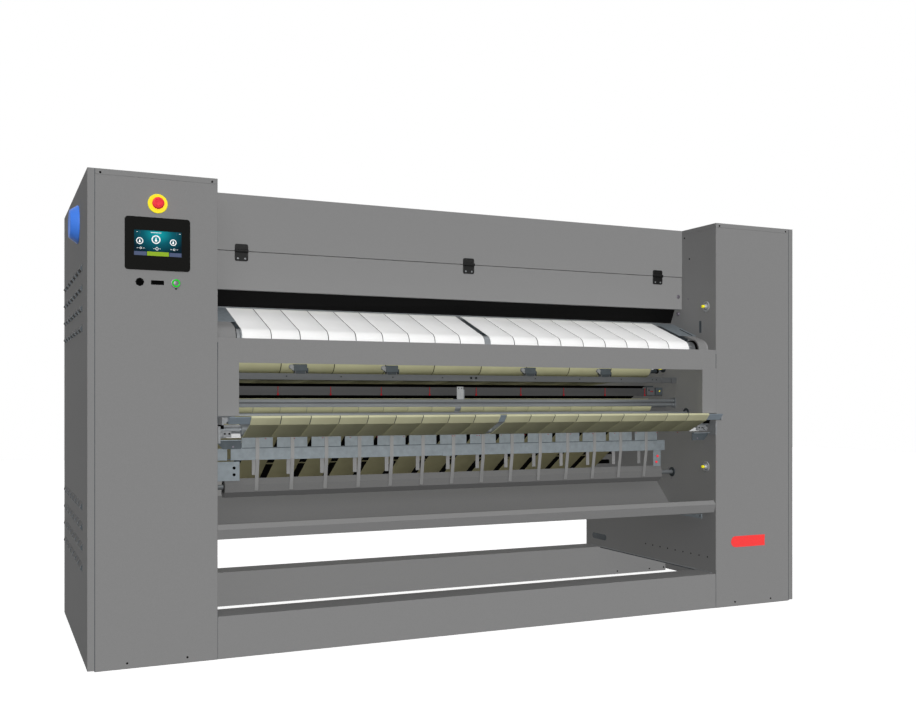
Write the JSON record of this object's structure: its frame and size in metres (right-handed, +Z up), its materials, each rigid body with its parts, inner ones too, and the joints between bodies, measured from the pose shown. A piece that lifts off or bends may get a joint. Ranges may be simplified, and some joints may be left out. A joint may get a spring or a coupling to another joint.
{
  "type": "flatwork ironer",
  "caption": "Industrial flatwork ironer with heated cylinder, feed and return belts, folding guide and tray between two floor-standing cabinets.",
  "frame": {"origin": "middle of the outline's base, on the floor", "axes": "+X to the right seen from the front, +Y from the front to the back, +Z up"},
  "size_m": [2.9152, 1.0972, 1.6],
  "materials": {
    "grey_paint": "fine-textured powder coat",
    "black_paint": "satin powder coat",
    "galvanised": "galvanised sheet",
    "steel": "turned steel",
    "aluminium": "extruded and anodised",
    "white_cloth": "woven belt",
    "cream_cloth": "woven heat-proof belt",
    "olive_cloth": "underside of woven belt",
    "motor_paint": "gloss enamel",
    "black_plastic": "touch panel",
    "yellow_plastic": "moulded",
    "red_plastic": "moulded",
    "green_plastic": "moulded",
    "blue_plastic": "moulded"
  },
  "bodies": {
    "frame": {"base_front_beam": "grey_paint", "base_rear_beam": "grey_paint", "left_inner_wall": "grey_paint", "right_inner_wall": "grey_paint", "left_side_panel": "grey_paint", "right_side_panel": "grey_paint", "left_front_panel": "grey_paint", "right_front_panel": "grey_paint", "left_top_cover": "grey_paint", "right_top_cover": "grey_paint", "hood_cover": "grey_paint", "rear_cover": "grey_paint", "feed_end_cover_left": "grey_paint", "feed_end_cover_right": "grey_paint", "front_crossbar": "grey_paint", "left_post_cover": "grey_paint", "right_post_cover": "grey_paint", "collecting_tray": "grey_paint", "hinge_leaf_left": "black_paint", "hinge_leaf_centre": "black_paint", "hinge_leaf_right": "black_paint", "sensor_rail": "galvanised", "scraper_bar": "galvanised", "fold_plate": "galvanised", "exhaust_fan": "galvanised", "left_cylinder_bearing": "steel", "right_cylinder_bearing": "steel", "guide_tubes": "steel", "nose_bar": "aluminium", "table_bracket_left": "aluminium", "table_bracket_right": "aluminium", "feed_belts": "white_cloth", "ironing_belts": "cream_cloth", "table_belts": "cream_cloth", "lower_belts": "olive_cloth", "cylinder_gear_motor": "motor_paint", "feed_gear_motor": "motor_paint", "touch_panel": "black_plastic", "e_stop_collar": "yellow_plastic"},
    "hood_flap": {"hood_flap": "grey_paint", "flap_hinge_leaf_left": "black_paint", "flap_hinge_leaf_centre": "black_paint", "flap_hinge_leaf_right": "black_paint"},
    "finger_guard": {"finger_guard": "black_paint"},
    "cylinder": {"ironing_cylinder": "steel"},
    "feed_front_roller": {"feed_front_roller": "steel"},
    "feed_rear_roller": {"feed_rear_roller": "steel"},
    "entry_roller": {"entry_roller": "steel"},
    "front_return_roller": {"front_return_roller": "steel"},
    "rear_lower_roller": {"rear_lower_roller": "steel"},
    "rear_upper_roller": {"rear_upper_roller": "steel"},
    "table_rear_roller": {"table_rear_roller": "steel"},
    "table_lower_roller": {"table_lower_roller": "steel"},
    "lower_front_roller": {"lower_front_roller": "steel"},
    "lower_rear_roller": {"lower_rear_roller": "steel"},
    "fold_trough": {"fold_trough": "galvanised", "fold_shaft": "steel"},
    "e_stop_button": {"e_stop_button": "red_plastic"},
    "start_button": {"start_button": "green_plastic"},
    "duct_cap": {"duct_cap": "blue_plastic"}
  },
  "joints": [
    {"name": "hood_flap_hinge", "type": "hinge", "parent": "frame", "child": "hood_flap", "pos_m": [0.01165, -0.24636, 1.397], "axis": [-1, 0, 0], "range_deg": [0, 100]},
    {"name": "finger_guard_hinge", "type": "hinge", "parent": "frame", "child": "finger_guard", "pos_m": [0.01165, -0.20736, 1.275], "axis": [1, 0, 0], "range_deg": [0, 10]},
    {"name": "cylinder_spin", "type": "hinge", "parent": "frame", "child": "cylinder", "pos_m": [0.01165, 0.13264, 1.228], "axis": [1, 0, 0], "continuous": true},
    {"name": "feed_front_roller_spin", "type": "hinge", "parent": "frame", "child": "feed_front_roller", "pos_m": [0.01165, -0.37436, 1.073], "axis": [1, 0, 0], "continuous": true},
    {"name": "feed_rear_roller_spin", "type": "hinge", "parent": "frame", "child": "feed_rear_roller", "pos_m": [0.01165, -0.14051, 1.17716], "axis": [1, 0, 0], "continuous": true},
    {"name": "entry_roller_spin", "type": "hinge", "parent": "frame", "child": "entry_roller", "pos_m": [0.01165, -0.14202, 1.27643], "axis": [1, 0, 0], "continuous": true},
    {"name": "front_return_roller_spin", "type": "hinge", "parent": "frame", "child": "front_return_roller", "pos_m": [0.01165, -0.10236, 1.008], "axis": [1, 0, 0], "continuous": true},
    {"name": "rear_lower_roller_spin", "type": "hinge", "parent": "frame", "child": "rear_lower_roller", "pos_m": [0.01165, 0.38064, 0.975], "axis": [1, 0, 0], "continuous": true},
    {"name": "rear_upper_roller_spin", "type": "hinge", "parent": "frame", "child": "rear_upper_roller", "pos_m": [0.01165, 0.40064, 1.43], "axis": [1, 0, 0], "continuous": true},
    {"name": "table_rear_roller_spin", "type": "hinge", "parent": "frame", "child": "table_rear_roller", "pos_m": [0.01165, -0.26936, 0.809], "axis": [1, 0, 0], "continuous": true},
    {"name": "table_lower_roller_spin", "type": "hinge", "parent": "frame", "child": "table_lower_roller", "pos_m": [0.01165, -0.40736, 0.762], "axis": [1, 0, 0], "continuous": true},
    {"name": "lower_front_roller_spin", "type": "hinge", "parent": "frame", "child": "lower_front_roller", "pos_m": [0.01165, -0.02236, 0.788], "axis": [1, 0, 0], "continuous": true},
    {"name": "lower_rear_roller_spin", "type": "hinge", "parent": "frame", "child": "lower_rear_roller", "pos_m": [0.01165, 0.34764, 0.566], "axis": [1, 0, 0], "continuous": true},
    {"name": "fold_trough_hinge", "type": "hinge", "parent": "frame", "child": "fold_trough", "pos_m": [0.01165, -0.16736, 0.548], "axis": [1, 0, 0], "range_deg": [-15, 20]},
    {"name": "e_stop_press", "type": "slide", "parent": "frame", "child": "e_stop_button", "axis": [0, 1, 0], "range_m": [0, 0.005], "stiffness_N_per_m": 800},
    {"name": "start_press", "type": "slide", "parent": "frame", "child": "start_button", "axis": [0, 1, 0], "range_m": [0, 0.003], "stiffness_N_per_m": 600},
    {"name": "duct_cap_pull", "type": "slide", "parent": "frame", "child": "duct_cap", "axis": [-1, 0, 0], "range_m": [0, 0.03]}
  ],
  "couplings": [
    {"joint": "feed_front_roller_spin", "follows": "cylinder_spin", "ratio": 6.5325},
    {"joint": "feed_rear_roller_spin", "follows": "cylinder_spin", "ratio": 11.698},
    {"joint": "entry_roller_spin", "follows": "cylinder_spin", "ratio": -9.4906},
    {"joint": "front_return_roller_spin", "follows": "cylinder_spin", "ratio": -6.0602},
    {"joint": "rear_lower_roller_spin", "follows": "cylinder_spin", "ratio": -6.0602},
    {"joint": "rear_upper_roller_spin", "follows": "cylinder_spin", "ratio": -6.0602},
    {"joint": "table_rear_roller_spin", "follows": "cylinder_spin", "ratio": -9.8627},
    {"joint": "table_lower_roller_spin", "follows": "cylinder_spin", "ratio": -9.8627},
    {"joint": "lower_front_roller_spin", "follows": "cylinder_spin", "ratio": 7.9841},
    {"joint": "lower_rear_roller_spin", "follows": "cylinder_spin", "ratio": 7.9841}
  ]
}
